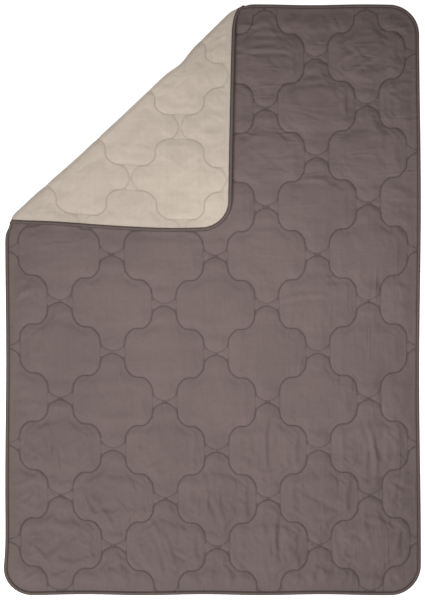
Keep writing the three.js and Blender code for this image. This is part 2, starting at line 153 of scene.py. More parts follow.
# ---------------------------------------------------------------- materials
def material(name, colour, sheen=0.0, weave=900, weave_depth=0.0002, crumple=0.003,
             seam_width=0.0055, seam_shade=0.66, shade=0.06, painted_light=0.0):
    """A woven cloth: weave and crumples in the bump, slubs and mottling, and painted shade where
    its gap is small or negative: in its seams, beside the binding, at the binding's edges, along
    the turned corner's edge and along the crease.
    """
    made = bpy.data.materials.new(name)
    made.use_nodes = True
    tree = made.node_tree
    link = tree.links.new
    shader = tree.nodes["Principled BSDF"]
    shader.inputs["Roughness"].default_value = 0.85
    shader.inputs["Sheen Weight"].default_value = sheen
    shader.inputs["Sheen Roughness"].default_value = 0.5
    cloth_place = tree.nodes.new("ShaderNodeUVMap")
    cloth_place.uv_map = "cloth"

    def texture(kind, stretch=(1, 1, 1), **values):
        new = tree.nodes.new(kind)
        for key, value in values.items():
            new.inputs[key].default_value = value
        place = tree.nodes.new("ShaderNodeMapping")
        place.inputs["Scale"].default_value = stretch
        link(cloth_place.outputs["UV"], place.inputs["Vector"])
        link(place.outputs["Vector"], new.inputs["Vector"])
        return new

    def ramp(source, low, high, to_low, to_high):
        new = tree.nodes.new("ShaderNodeMapRange")
        new.interpolation_type = "SMOOTHSTEP"
        for key, value in (("From Min", low), ("From Max", high),
                           ("To Min", to_low), ("To Max", to_high)):
            new.inputs[key].default_value = value
        link(source, new.inputs["Value"])
        return new.outputs["Result"]

    def maths(kind, *values):
        new = tree.nodes.new("ShaderNodeMath")
        new.operation = kind
        for socket, value in zip(new.inputs, values):
            if isinstance(value, float):
                socket.default_value = value
            else:
                link(value, socket)
        return new.outputs[0]

    mottle = texture("ShaderNodeTexNoise", Scale=9.0, Detail=5.0, Roughness=0.6)
    slubs_across = texture("ShaderNodeTexNoise", (6, 170, 1), Scale=1.0, Detail=3.0)
    slubs_along = texture("ShaderNodeTexNoise", (170, 6, 1), Scale=1.0, Detail=3.0)
    fibre = texture("ShaderNodeTexNoise", Scale=weave * 0.6, Detail=2.0, Roughness=0.7)
    gap = tree.nodes.new("ShaderNodeAttribute")
    gap.attribute_name = "gap"
    seam = ramp(gap.outputs["Fac"], 0.0, seam_width, 1.0, 0.0)

    light = maths(
        "MULTIPLY",
        ramp(mottle.outputs["Fac"], 0.3, 0.7, 1 - shade, 1 + shade),
        ramp(fibre.outputs["Fac"], 0.25, 0.75, 0.97, 1.03),
    )
    for slubs in (slubs_across, slubs_along):
        light = maths("MULTIPLY", light, ramp(slubs.outputs["Fac"], 0.3, 0.7, 0.985, 1.015))
    # Painted shade: the colour darkens where the gap is small. This stands for the shade in a
    # seam's groove, beside the binding's inner edge, at the binding's edges and along the turned
    # corner's edge.
    light = maths("MULTIPLY", light, ramp(seam, 0.0, 1.0, 1.0, seam_shade))
    # Painted shade: a negative gap, which the lining has along the crease, is darker still, for
    # the shaded edge of the rolled fold.
    light = maths("MULTIPLY", light, ramp(gap.outputs["Fac"], -0.004, 0.0, 0.9, 1.0))
    place = tree.nodes.new("ShaderNodeSeparateXYZ")
    link(cloth_place.outputs["UV"], place.inputs[0])
    # Painted light: where a material asks for it (the lining), the cloth grows lighter from flat
    # x -0.46 to -0.16 and stays lighter beyond. This is for the turned corner's upper part, which
    # is lit more brightly.
    light = maths("MULTIPLY", light, ramp(place.outputs["X"], 0.27, 0.42, 1.0, 1 + painted_light))
    tone = tree.nodes.new("ShaderNodeVectorMath")
    tone.operation = "SCALE"
    tone.inputs[0].default_value = colour
    link(light, tone.inputs["Scale"])
    link(tone.outputs[0], shader.inputs["Base Color"])

    warp = texture("ShaderNodeTexWave", Scale=weave, Distortion=1.5, Detail=1.0)
    weft = texture("ShaderNodeTexWave", Scale=weave, Distortion=1.5, Detail=1.0)
    weft.bands_direction = "Y"
    broad = texture("ShaderNodeTexNoise", Scale=30.0, Detail=4.0, Roughness=0.55, Distortion=0.6)
    level = texture("ShaderNodeTexNoise", (14, 60, 1), Scale=1.0, Detail=3.0, Distortion=1.0)
    steep = texture("ShaderNodeTexNoise", (60, 14, 1), Scale=1.0, Detail=3.0, Distortion=1.0)
    for creases in (level, steep):
        creases.noise_type = "RIDGED_MULTIFRACTAL"
    upper = ramp(maths("MULTIPLY_ADD", mottle.outputs["Fac"], 0.6, place.outputs["Y"]),
                 0.75, 1.15, 0.0, 1.0)
    both = tree.nodes.new("ShaderNodeMix")
    link(upper, both.inputs["Factor"])
    link(steep.outputs["Fac"], both.inputs["A"])
    link(level.outputs["Fac"], both.inputs["B"])
    crumples = maths("MULTIPLY_ADD", broad.outputs["Fac"], 1.2, both.outputs["Result"])
    pucker = texture("ShaderNodeTexNoise", Scale=190.0, Detail=2.0, Roughness=0.5)
    near_seam = ramp(gap.outputs["Fac"], 0.003, 0.016, 0.45, 0.0)
    crumples = maths("ADD", crumples, maths("MULTIPLY", pucker.outputs["Fac"], near_seam))
    fine = tree.nodes.new("ShaderNodeBump")
    fine.inputs["Strength"].default_value = 0.5
    fine.inputs["Distance"].default_value = weave_depth
    link(maths("ADD", warp.outputs["Fac"], weft.outputs["Fac"]), fine.inputs["Height"])
    soft = tree.nodes.new("ShaderNodeBump")
    soft.inputs["Strength"].default_value = 1.0
    soft.inputs["Distance"].default_value = crumple
    link(crumples, soft.inputs["Height"])
    link(fine.outputs["Normal"], soft.inputs["Normal"])
    link(soft.outputs["Normal"], shader.inputs["Normal"])
    return made


TAUPE = (0.192, 0.142, 0.133)
BEIGE = (0.650, 0.555, 0.463)
COVER = material("cover", TAUPE, sheen=0.05)
LINING = material("lining", BEIGE, sheen=0.04, crumple=0.0022, seam_width=0.006, seam_shade=0.86,
                  painted_light=0.09)
WADDING = material("wadding", (0.80, 0.78, 0.74), weave=300, weave_depth=0.001)
BINDING = material("binding", (0.160, 0.118, 0.106), weave=1400, crumple=0.0006,
                   seam_width=0.003, seam_shade=0.5)
THREAD = material("thread", (0.125, 0.088, 0.078), weave=3000, weave_depth=0.0001,
                  crumple=0.0001)
LINING_THREAD = material("lining_thread", (0.43, 0.345, 0.275), weave=3000,
                         weave_depth=0.0001, crumple=0.0001)


def tree_of(places):
    """A search tree of flat points."""
    tree = KDTree(len(places))
    for number, (x, y) in enumerate(places):
        tree.insert((x, y, 0), number)
    tree.balance()
    return tree


# ---------------------------------------------------------------- the stitched pattern
def spline(points, per_span):
    """A smooth curve through the points."""
    p = np.array(points, float)
    p = np.vstack([2 * p[0] - p[1], p, 2 * p[-1] - p[-2]])
    t = np.linspace(0, 1, per_span, endpoint=False)[:, None]
    spans = [
        0.5 * (2 * b + (c - a) * t + (2 * a - 5 * b + 4 * c - d) * t**2
               + (3 * b - a - 3 * c + d) * t**3)
        for a, b, c, d in zip(p, p[1:], p[2:], p[3:])
    ]
    return np.vstack(spans + [p[-2:-1]])


def strand():
    """One stitched strand between two meeting points, in shares of a cell's half sizes."""
    start = np.array([(0, 0), (0.09, 0.03), (0.18, 0.10), (0.224, 0.18), (0.246, 0.29),
                      (0.283, 0.37), (0.343, 0.447), (0.417, 0.494), (0.5, 0.5)])
    return spline(np.vstack([start, 1 - start[-2::-1]]), 6)


STRAND = strand()


def cell_x(column):
    return CELL_SHIFT + CELL_X * column


def cell_y(row):
    return FIRST_ROW_Y - CELL_Y * row


def row_line(row):
    """Runs across the quilt, touching the meeting points of this row and the next by turns.

    The third value of each point is how firmly the line is pulled in there, which sets how dark
    its painted seam shade is.
    """
    pieces = []
    for column in range(-COLUMNS // 2 - 1, COLUMNS // 2 + 1):
        down = (row + column) % 2 != 0
        x = cell_x(column + STRAND[:-1, 0])
        share = STRAND[:-1, 1] if down else 1 - STRAND[:-1, 1]
        # It keeps ROW_GAP away within an eighth of a cell of a meeting point.
        apart = ROW_GAP * (np.clip(share * 8 - 7, 0, 1) - np.clip(1 - share * 8, 0, 1))
        firm = 1 - 0.35 * smooth((share - 0.7) / 0.2) - 0.05 * smooth((0.3 - share) / 0.2)
        pieces.append(np.stack([x, cell_y(row + share) + apart, firm], 1))
    return np.vstack(pieces)


def column_line(column):
    """Runs along the quilt, following the strands and passing beside each meeting point."""
    middle = STRAND[(STRAND[:, 1] > 0.28) & (STRAND[:, 1] < 0.72)][::4]
    points = []
    for row in range(-1, ROWS + 1):
        left = (row + column) % 2 != 0
        start, side = (column, 1) if left else (column + 1, -1)
        points.append((cell_x(start + side * NECK), cell_y(row), SLACK_FIRM))
        points += [(cell_x(start + side * x), cell_y(row + y), 1.0) for x, y in middle]
    return spline(points, 4)


def drift(line):
    """The quilting wanders: rows sag in the middle, and columns lean and bow a little."""
    column = (line[:, 0] - CELL_SHIFT) / CELL_X
    row = (FIRST_ROW_Y - line[:, 1]) / CELL_Y
    sag = SAG * (1 - ((row - SAG_ROW) / SAG_ROW) ** 2) - SAG_RISE * column**2 * np.clip(row, 0, 1)
    lean = LEAN * row - BOW * column**2 - LEAN_START
    return line + np.stack([lean, -sag, np.zeros_like(sag)], 1)


def inset_at(p):
    """Distance in from the quilt's outer edge."""
    d = np.abs(p[:, :2]) - (np.array([WIDTH, LENGTH]) / 2 - CORNER_RADIUS)
    outside = np.linalg.norm(np.maximum(d, 0), axis=1)
    return CORNER_RADIUS - outside - np.minimum(d.max(1), 0)


def outline_path(inset, spacing):
    """Evenly spaced points on the quilt's outline drawn in by an inset, and the run to each.

    It goes anticlockwise from the upper end of the right side.
    """
    radius = CORNER_RADIUS - inset
    centre = np.array([WIDTH, LENGTH]) / 2 - CORNER_RADIUS
    points = []
    for quarter, (sx, sy) in enumerate([(1, 1), (-1, 1), (-1, -1), (1, -1)]):
        for angle in np.linspace(quarter, quarter + 1, 33) * math.pi / 2:
            arc = np.array([math.cos(angle), math.sin(angle)])
            points.append(centre * (sx, sy) + radius * arc)
    points = np.array(points + points[:1])
    run = np.concatenate([[0], np.cumsum(np.linalg.norm(np.diff(points, axis=0), axis=1))])
    at = np.linspace(0, run[-1], int(run[-1] / spacing), endpoint=False)
    return np.stack([np.interp(at, run, points[:, i]) for i in (0, 1)], 1), at


def respace(line, spacing):
    """The same line with points at an even spacing."""
    lengths = np.linalg.norm(np.diff(line[:, :2], axis=0), axis=1)
    run = np.concatenate([[0], np.cumsum(lengths)])
    at = np.arange(0, run[-1], spacing)
    return np.stack([np.interp(at, run, line[:, i]) for i in range(line.shape[1])], 1)


ROW_LINES = [respace(drift(row_line(r)), LINE_STEP) for r in range(ROWS)]
COLUMN_LINES = [respace(drift(column_line(c - COLUMNS // 2)), LINE_STEP) for c in range(COLUMNS)]
STITCHES = np.vstack(ROW_LINES + COLUMN_LINES)
STITCHES = STITCHES[inset_at(STITCHES) > BINDING_WIDTH - 0.002]
stitch_tree = tree_of(STITCHES[:, :2])


def nearest_stitch(points):
    """Distance to the nearest stitched line, the place on it, and how firm it is there."""
    found = [stitch_tree.find((x, y, 0)) for x, y in points]
    place = np.array([f[0][:2] for f in found])
    return np.array([f[2] for f in found]), place, STITCHES[[f[1] for f in found], 2]


# ---------------------------------------------------------------- flat cloth
def flat_cloth(low, high, step):
    """A rectangle of cloth, its vertices drawn onto the stitched lines and the outline."""
    across = int(round((high[0] - low[0]) / step)) + 1
    along = int(round((high[1] - low[1]) / step)) + 1
    grid = np.meshgrid(np.linspace(low[0], high[0], across), np.linspace(low[1], high[1], along))
    points = np.stack([g.ravel() for g in grid], 1)
    distance, nearest, firm = nearest_stitch(points)
    sewn = distance < 0.56 * step
    points[sewn] = nearest[sewn]
    distance[sewn] = 0
    trimmed = inset_at(points) < CLOTH_INSET - 1e-6
    centre = np.sign(points) * (np.array([WIDTH, LENGTH]) / 2 - CORNER_RADIUS)
    out = points - centre
    scale = (CORNER_RADIUS - CLOTH_INSET) / np.maximum(np.linalg.norm(out, axis=1), 1e-9)
    points[trimmed] = (centre + out * scale[:, None])[trimmed]

    index = np.arange(across * along).reshape(along, across)
    a, b = index[:-1, :-1].ravel(), index[:-1, 1:].ravel()
    d, c = index[1:, :-1].ravel(), index[1:, 1:].ravel()
    checker = (a % across + a // across) % 2 == 0
    other = np.where(sewn[a] & sewn[c], False, np.where(sewn[b] & sewn[d], True, checker))
    first = np.where(other[:, None], np.stack([a, b, d], 1), np.stack([a, b, c], 1))
    second = np.where(other[:, None], np.stack([b, c, d], 1), np.stack([a, c, d], 1))
    faces = np.vstack([first, second])
    faces = faces[~trimmed[faces].all(1)]
    p = points[faces]
    area = np.cross(p[:, 1] - p[:, 0], p[:, 2] - p[:, 0])
    _, first_at, same = np.unique(
        np.round(points, 5), axis=0, return_index=True, return_inverse=True
    )
    faces = first_at[same.ravel()[faces]]
    return {"flat": points, "faces": faces[area > 1e-9], "gap": distance, "firm": firm,
            "sewn": sewn, "shape": (along, across)}


def blur(values, shape, cells):
    """Gaussian blur over the cloth's grid."""
    reach = np.arange(-3 * cells, 3 * cells + 1)
    kernel = np.exp(-0.5 * (reach / cells) ** 2)
    kernel /= kernel.sum()
    grid = np.pad(values.reshape(shape), 3 * cells, mode="edge")
    for axis in (0, 1):
        grid = np.apply_along_axis(lambda r: np.convolve(r, kernel, mode="valid"), axis, grid)
    return grid.ravel()


def crumple(cloth, slack, pressure, frames):
    """How cloth sewn down along its stitched lines puffs and wrinkles, by simulation."""
    flat = np.column_stack([cloth["flat"], np.zeros(len(cloth["flat"]))])
    mesh = bpy.data.meshes.new("simulated")
    mesh.from_pydata(flat.tolist(), [], cloth["faces"].tolist())
    puffed = bpy.data.objects.new("simulated", mesh)
    bpy.context.scene.collection.objects.link(puffed)
    held = cloth["sewn"] | (inset_at(flat) < BINDING_WIDTH + 0.001)
    group = puffed.vertex_groups.new(name="held")
    group.add(np.flatnonzero(held).tolist(), 1.0, "REPLACE")
    modifier = puffed.modifiers.new("cloth", "CLOTH")
    settings = modifier.settings
    settings.vertex_group_mass = "held"
    settings.quality = 4
    settings.mass = 0.1
    settings.tension_stiffness = settings.compression_stiffness = 15
    settings.shear_stiffness = 5
    settings.bending_stiffness = 0.05
    settings.use_pressure = True
    settings.uniform_pressure_force = pressure
    settings.shrink_min = -slack
    settings.effector_weights.gravity = 0
    modifier.point_cache.frame_end = frames
    for step in range(1, frames + 1):
        bpy.context.scene.frame_set(step)
    result = puffed.evaluated_get(bpy.context.evaluated_depsgraph_get())
    height = np.empty(len(flat) * 3)
    result.data.vertices.foreach_get("co", height)
    bpy.data.objects.remove(puffed)
    bpy.context.scene.frame_set(1)
    return height[2::3]


def puff(cloth, rise, strength, slack=0.05, pressure=1.0, frames=24):
    """Height above the stitched lines: rounded pillows with the simulation's wrinkles on them."""
    gap = cloth["gap"]
    body = 1 - np.exp(-((gap / 0.022) ** 1.2))
    height = 0.92 * rise * body
    raw = crumple(cloth, slack, pressure, frames)
    if raw.any():
        # What all pillows share at the same distance from their seams is taken off, in rings.
        rings, width = 40, 0.0025
        ring = np.minimum(gap / width, rings - 1).astype(int)
        level = np.bincount(ring, raw, rings)
        level /= np.maximum(np.bincount(ring, minlength=rings), 1)
        wrinkles = raw - np.interp(gap, (np.arange(rings) + 0.5) * width, level)
        wrinkles = strength * (wrinkles - blur(wrinkles, cloth["shape"], 6))
        height += WRINKLE_LIMIT * np.tanh(wrinkles / WRINKLE_LIMIT)
    height = np.maximum(height, 0.45 * rise * body)
    return height * (1 - np.exp(-((gap / 0.0035) ** 2)))


# Deeper creases: middle x, y, direction in degrees, half length, height in shares of CREASE.
CREASE = 0.0032
CREASES = [
    (0.183, 0.907, 0, 0.05, 1.0), (0.181, 0.849, 2, 0.08, 1.2), (0.35, 0.744, 0, 0.045, 1.0),
    (0.462, 0.829, 32, 0.045, 1.2), (0.511, 0.80, 29, 0.045, 1.0), (0.445, 0.665, 90, 0.03, 1.0),
    (0.422, 0.077, 0, 0.04, 1.2), (0.30, 0.013, 7, 0.08, 1.2), (0.337, 0.409, 0, 0.04, 1.0),
    (-0.647, 0.018, 33, 0.045, 1.2), (-0.668, 0.15, 38, 0.03, 1.2),
    (-0.564, -0.111, 90, 0.04, 1.0), (-0.533, -0.509, -76, 0.09, 2.0),
    (-0.608, -0.526, -65, 0.07, 1.8), (-0.369, -0.72, -56, 0.07, 1.8),
    (-0.42, -0.70, -65, 0.06, 1.5), (-0.022, -0.67, -87, 0.09, 1.8),
    (0.025, -0.72, -68, 0.06, 1.5), (0.178, -0.492, 90, 0.09, 1.7),
    (0.545, -0.509, -82, 0.09, 2.0), (-0.169, -0.831, -69, 0.1, 2.0),
    (-0.144, -0.848, -72, 0.07, 1.5), (0.212, -0.805, 90, 0.08, 1.8),
    (-0.58, -0.86, -45, 0.06, 1.6), (0.42, -0.86, -80, 0.07, 1.4),
]


def crease(flat, x, y, turn, half, height, width=0.008):
    """One soft ridge with a hollow beside it."""
    along = np.array([math.cos(math.radians(turn)), math.sin(math.radians(turn))])
    offset = flat - (x, y)
    run = offset @ along
    across = (offset @ (-along[1], along[0]) + 0.10 * run**2 / half) / width
    ridge = np.exp(-(across**2)) - 0.7 * np.exp(-((across + 1.6) ** 2))
    return CREASE * height * ridge * np.exp(-((run / half) ** 4))


def creased(cloth, seed, count=220):
    """The deeper creases, and many slight ones, level near the top and steep near the bottom."""
    flat = cloth["flat"]
    total = sum(crease(flat, *values) for values in CREASES)
    random = np.random.default_rng(seed)
    for _ in range(count):
        x, y = random.uniform(-0.68, 0.68), random.uniform(-0.97, 0.97)
        turn = random.normal(0, 16) + 85 * smooth(0.8 - y) * random.choice([-1, 1])
        height = random.uniform(0.08, 0.2) * (1 + 1.2 * y * y + 0.5 * (x / 0.7) ** 2)
        height *= 1 + 0.9 * smooth((-y - 0.3) / 0.4)
        half = random.uniform(0.018, 0.05)
        total += crease(flat, x, y, turn, half, height, random.uniform(0.005, 0.008))
    return total * (1 - np.exp(-((cloth["gap"] / 0.007) ** 2)))


# ---------------------------------------------------------------- turning the corner over
def reach_in(points):
    """Distance from the crease, positive towards the middle of the quilt."""
    return (points[:, :2] - HINGE[:2]) @ INWARD[:2]


def slide(points, reach):
    """How far the turned corner slides up the quilt, more at its two ends than between."""
    share = np.clip((points - HINGE) @ ALONG / FOLD_LENGTH, 0, 1) ** 2
    level = points[:, 0] + 2 * reach * INWARD[0] + WIDTH / 2
    most = 0.016 + 0.0065 * np.cos(math.tau * level / 1.01)
    return most * (share + (1 - share) * smooth(reach / 0.14))


def turn_over(points):
    """Flat quilt to turned corner: half a turn about the crease, then the corner settles."""
    reach = np.maximum(-reach_in(points), 0)
    turned = points.copy()
    turned[:, :2] += 2 * reach[:, None] * INWARD[:2]
    turned[:, 2] = 2 * HINGE[2] - points[:, 2]
    turned[:, 0] += 0.011 * (reach / FOLD_DEPTH) ** 1.5 - 0.008 * smooth(reach / 0.06)
    turned[:, 1] += slide(points, reach) + 0.002 * smooth(reach / 0.1)
    turned[:, 1] += 0.0035 * smooth((reach - 0.38) / 0.12)
    loose = (1 - smooth((inset_at(points) - 0.004) / 0.05)) * smooth(reach / 0.12)
    turned[:, 2] += 0.0015 * loose
    return turned


# How far the rolled fold stands out sideways, as a share of its height, along the crease. The
# layers inside it stand out less, so that they stay in order as the corner opens.
BULGE = ((0, 0.1), (0.5, 0.1), (0.6, 0.3), (0.7, 0.1), (0.78, 0.35), (0.87, 0.5), (0.94, 0.25),
         (1, 0.3))


def roll(points, steps=12):
    """Half a turn about the crease, from points on it: a row of points for each step."""
    run = (points - HINGE) @ ALONG
    share = run / FOLD_LENGTH
    slant_top = abs(INWARD[1] / ALONG[1])
    slant_side = abs(INWARD[0] / ALONG[0])
    radius = HINGE[2] - points[:, 2]
    inner = 0.6 * (HINGE[2] - radius)
    rows = []
    for step in range(steps + 1):
        angle = math.pi * step / steps
        out = (HINGE[2] * np.interp(share, *zip(*BULGE)) - inner) * math.sin(angle)
        along = run + out * (slant_top * (1 - share) - slant_side * share)
        row = HINGE + along[:, None] * ALONG - out[:, None] * INWARD
        row[:, 1] += slide(points, 0) * smooth(step / steps)
        row[:, 2] = HINGE[2] - radius * math.cos(angle)
        rows.append(row)
    return rows


def settle(points):
    """The quilt isn't quite square as it lies: its sides bow and the fold is pinched once."""
    settled = points.copy()
    x, y = points[:, 0], points[:, 1]
    right = 0.0039 + 0.0029 * np.cos(math.tau * (y - 0.34) / 1.19)
    left = 0.0016 + 0.0016 * np.cos(math.tau * (y + 0.62) / 0.85)
    left += 0.011 * np.exp(-(((y + 0.97) / 0.10) ** 2))
    settled[:, 0] += right * smooth((x - 0.3) / 0.4) - left * smooth((-x - 0.3) / 0.4)
    settled[:, 1] += 0.0014 * (1 + np.cos(math.tau * (x - 0.15) / 0.37)) * smooth((y - 0.8) / 0.2)
    settled[:, 1] -= 0.0016 * np.sin(math.tau * (x + 0.33) / 0.4) * smooth((-y - 0.8) / 0.2)
    run = (points - HINGE) @ ALONG
    pinch = 0.009 * np.exp(-(((run - 0.28) / 0.045) ** 2) - (reach_in(points) / 0.07) ** 2)
    settled += pinch[:, None] * INWARD
    for end, up, shift in ((0, 0, (0.016, -0.005)), (FOLD_LENGTH, 0.022, (0.017, 0))):
        tip = HINGE[:2] + end * ALONG[:2] + (0, up)
        near = np.exp(-(((points[:, :2] - tip) ** 2).sum(1) / 0.027**2))
        settled[:, :2] += near[:, None] * shift
    return settled


def new_piece(name, points, faces, flat, gap, finish, slot, nodes=()):
    """A mesh object with its flat cloth coordinates and a gap at each point, mostly its distance
    from a seam, which the material turns into painted shade.
    """
    mesh = bpy.data.meshes.new(name)
    mesh.from_pydata(settle(np.asarray(points)).tolist(), [], [tuple(f) for f in faces])
    layer = mesh.uv_layers.new(name="cloth")
    corners = np.empty(len(mesh.loops), int)
    mesh.loops.foreach_get("vertex_index", corners)
    uv = (np.asarray(flat)[:, :2] + 1.0)[corners] / 2
    layer.uv.foreach_set("vector", uv.astype(np.float32).ravel())
    mesh.attributes.new("gap", "FLOAT", "POINT").data.foreach_set(
        "value", np.asarray(gap, np.float32)
    )
    mesh.shade_smooth()
    mesh.materials.append(finish)
    piece = bpy.data.objects.new(name, mesh)
    bpy.context.scene.collection.objects.link(piece)
    if nodes:
        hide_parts(*nodes)
    return piece


def cut_at_crease(points, faces, flat, gap):
    """The two sides of a flat mesh, each as (points, faces, flat, gap, edges at the crease)."""
    extra = np.column_stack([flat[:, 0], flat[:, 1], gap])
    sides = []
    for sign in (1, -1):
        work = bmesh.new()
        layers = [work.verts.layers.float.new(n) for n in ("u", "v", "gap")]
        made = [work.verts.new(p) for p in points]
        for vert, values in zip(made, extra):
            for layer, value in zip(layers, values):
                vert[layer] = value
        work.verts.ensure_lookup_table()
        for face in faces:
            work.faces.new([made[i] for i in face])
        bmesh.ops.bisect_plane(
            work, geom=work.verts[:] + work.edges[:] + work.faces[:], dist=1e-6,
            plane_co=HINGE, plane_no=INWARD * sign, clear_inner=True,
        )
        loose = [v for v in work.verts if not v.link_faces]
        bmesh.ops.delete(work, geom=loose, context="VERTS")
        work.verts.index_update()
        co = np.array([v.co for v in work.verts])
        values = np.array([[v[layer] for layer in layers] for v in work.verts])
        cut_faces = [[v.index for v in f.verts] for f in work.faces]
        rim = [
            [v.index for v in e.verts] for e in work.edges
            if e.is_boundary and abs(reach_in(np.array([v.co for v in e.verts]))).max() < 1e-5
        ]
        sides.append((co, cut_faces, values[:, :2], values[:, 2], rim))
        work.free()
    return sides


def three_parts(name, points, faces, flat, gap, finish, slot, nodes, outward=1):
    """The main part, the turned corner and the rolled fold between them, of one flat mesh."""
    main, corner = cut_at_crease(points, faces, flat, gap)
    made = [new_piece(f"{name}_main", *main[:4], finish, slot, nodes[0])]
    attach(made[0], ROOT)
    turned = turn_over(corner[0])
    made.append(new_piece(f"{name}_corner", turned, *corner[1:4], finish, slot, nodes[1]))
    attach(made[1], CORNER)

    ends = sorted({i for edge in main[4] for i in edge})
    place = {v: n for n, v in enumerate(ends)}
    rows = roll(main[0][ends])
    size = len(ends)
    strip = [
        (size * r + place[a], size * r + place[b],
         size * (r + 1) + place[b], size * (r + 1) + place[a])
        for r in range(len(rows) - 1) for a, b in main[4]
    ]
    turn = np.repeat(np.linspace(-0.02, 0.02, len(rows)), size)
    fold_flat = np.tile(main[2][ends], (len(rows), 1)) - turn[:, None] * INWARD[:2]
    # The fold carries the gap found at the crease, so the painted shade along the lining's crease
    # runs round the roll.
    fold_gap = np.tile(main[3][ends], len(rows))
    strip = wound_outward(np.vstack(rows), strip, outward)
    made.append(new_piece(f"{name}_fold", np.vstack(rows), strip, fold_flat, fold_gap,
                          finish, slot, nodes[2]))
    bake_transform(made[2])
    return made


def wound_outward(points, faces, outward):
    """Turns round the faces that look the wrong way about the crease's axis."""
    kept = []
    for face in faces:
        a, b, c = (points[i] for i in face[:3])
        normal = np.cross(b - a, c - a)
        middle = (a + b + c) / 3 - HINGE
        away = middle - (middle @ ALONG) * ALONG
        kept.append(face if (normal @ away) * outward > 0 else face[::-1])
    return kept


# ---------------------------------------------------------------- cover and lining
CLOTH_HALF = np.array([WIDTH, LENGTH]) / 2 - CLOTH_INSET


def edge_blend(cloth, height, at_edge):
    """Brings a face to its height inside the binding."""
    share = smooth((inset_at(cloth["flat"]) - BINDING_WIDTH) / 0.03)
    return at_edge + (height - at_edge) * share


def under_corner(points):
    """1 where the turned corner covers the quilt or is turned over itself, 0 in the open."""
    reach = reach_in(points)
    mirrored = points[:, :2] - 2 * reach[:, None] * INWARD[:2]
    return smooth(inset_at(mirrored) / 0.03 + 1) * smooth((FOLD_DEPTH + 0.03 - reach) / 0.03)


def off_crease(points):
    """0 on the crease, which the fold presses flat, and 1 away from it."""
    return smooth(np.abs(reach_in(points)) / 0.025)


def seam_gap(cloth):
    """Distance from the nearest seam, quilted or binding, and more beside a slack one, for the
    painted shade in the seams and beside the binding's inner edge.
    """
    quilted = cloth["gap"] + SLACK_GAP * (1 - cloth["firm"])
    return np.minimum(quilted, np.abs(inset_at(cloth["flat"]) - BINDING_WIDTH))


def corner_shadow_distance(points):
    """Distance out from the edge of the turned corner, and 0 just underneath it: this gives the
    cover its painted shadow along that edge.
    """
    edge = outline_path(0.0, 0.004)[0]
    edge = edge[reach_in(edge) < 0]
    turned = turn_over(np.column_stack([edge, np.zeros(len(edge))]))[:, :2]
    centre = turned.mean(0)
    tree = tree_of(turned)
    away = np.full(len(points), 1.0)
    for i in np.flatnonzero((np.abs(points - centre) < 0.5).all(1)):
        _, number, distance = tree.find((points[i, 0], points[i, 1], 0))
        ahead = turned[min(number + 1, len(turned) - 1)] - turned[max(number - 1, 0)]
        offset = points[i] - turned[number]
        outside = ahead[0] * offset[1] > ahead[1] * offset[0]
        away[i] = distance if outside else max(distance - STEP, 0)
    return away


def make_cover():
    """The upper cloth: wrinkled most near the bottom, and pressed flat under the corner."""
    cloth = flat_cloth(-CLOTH_HALF, CLOTH_HALF, STEP)
    x, y = cloth["flat"].T
    strength = 0.3 + 0.3 * smooth((y - 0.2) / 0.5) + 1.3 * smooth((-y - 0.25) / 0.5)
    strength += 0.15 * smooth((np.abs(x) - 0.3) / 0.3)
    rise = puff(cloth, COVER_RISE, strength)
    rise = np.maximum(rise + creased(cloth, 3), 0.4 * rise)
    pressed = PRESSED_RISE * np.tanh(rise / COVER_RISE)
    rise += (pressed - rise) * under_corner(cloth["flat"])
    inset = inset_at(cloth["flat"])
    rise *= smooth((inset - BINDING_WIDTH) / 0.06) * off_crease(cloth["flat"])
    points = np.column_stack([cloth["flat"], COVER_STITCH - 0.0006 + rise])
    # Painted shade in the seams and beside the binding's inner edge, and a painted shadow along
    # the turned corner's edge, darkest just under it.
    shade = np.minimum(seam_gap(cloth), 0.0022 + corner_shadow_distance(cloth["flat"]))
    return three_parts("cover", points, cloth["faces"], cloth["flat"], shade, COVER,
                       "cover", (["top_cover"], ["corner_cover"], ["fold_cover"]), -1)


def make_lining():
    """The lower cloth: pressed flat underneath, and puffed where the corner is turned over."""
    cloth = flat_cloth(-CLOTH_HALF, CLOTH_HALF, STEP)
    gap = cloth["gap"]
    pressed = LINING_REST + (LINING_STITCH - LINING_REST) * np.exp(-((gap / 0.012) ** 2))
    low = np.array([-CLOTH_HALF[0], HINGE[1] - FOLD_DEPTH / abs(INWARD[1]) - 0.03])
    high = np.array([HINGE[0] + 0.03, CLOTH_HALF[1]])
    corner = flat_cloth(low, high, STEP)
    rise = puff(corner, LINING_RISE, 0.3) + 0.5 * creased(corner, 5, 320)
    corner_tree = tree_of(corner["flat"])
    height = pressed.copy()
    loose = smooth(-reach_in(cloth["flat"]) / 0.04)
    for i in np.flatnonzero(loose > 0):
        x, y = cloth["flat"][i]
        near = corner_tree.find_n((x, y, 0), 3)
        weight = np.array([1 / (n[2] + 1e-4) for n in near])
        free = LINING_STITCH - (weight * [rise[n[1]] for n in near]).sum() / weight.sum()
        height[i] += (free - height[i]) * loose[i]
    height[gap == 0] = LINING_STITCH
    height = edge_blend(cloth, height, EDGE_LOW + TAPE + 0.0004)
    points = np.column_stack([cloth["flat"], height])
    faces = cloth["faces"][:, ::-1]
    # Painted shade along the crease: the gap falls below 0 within 6 mm of it and is lowest on it,
    # so the lining darkens there.
    shade = np.minimum(seam_gap(cloth), 0.5 * np.abs(reach_in(cloth["flat"])) - 0.003)
    return three_parts("lining", points, faces, cloth["flat"], shade, LINING,
                       "lining", (["lining"], ["corner_lining"], ["fold_lining"]))


cover = make_cover()
lining = make_lining()


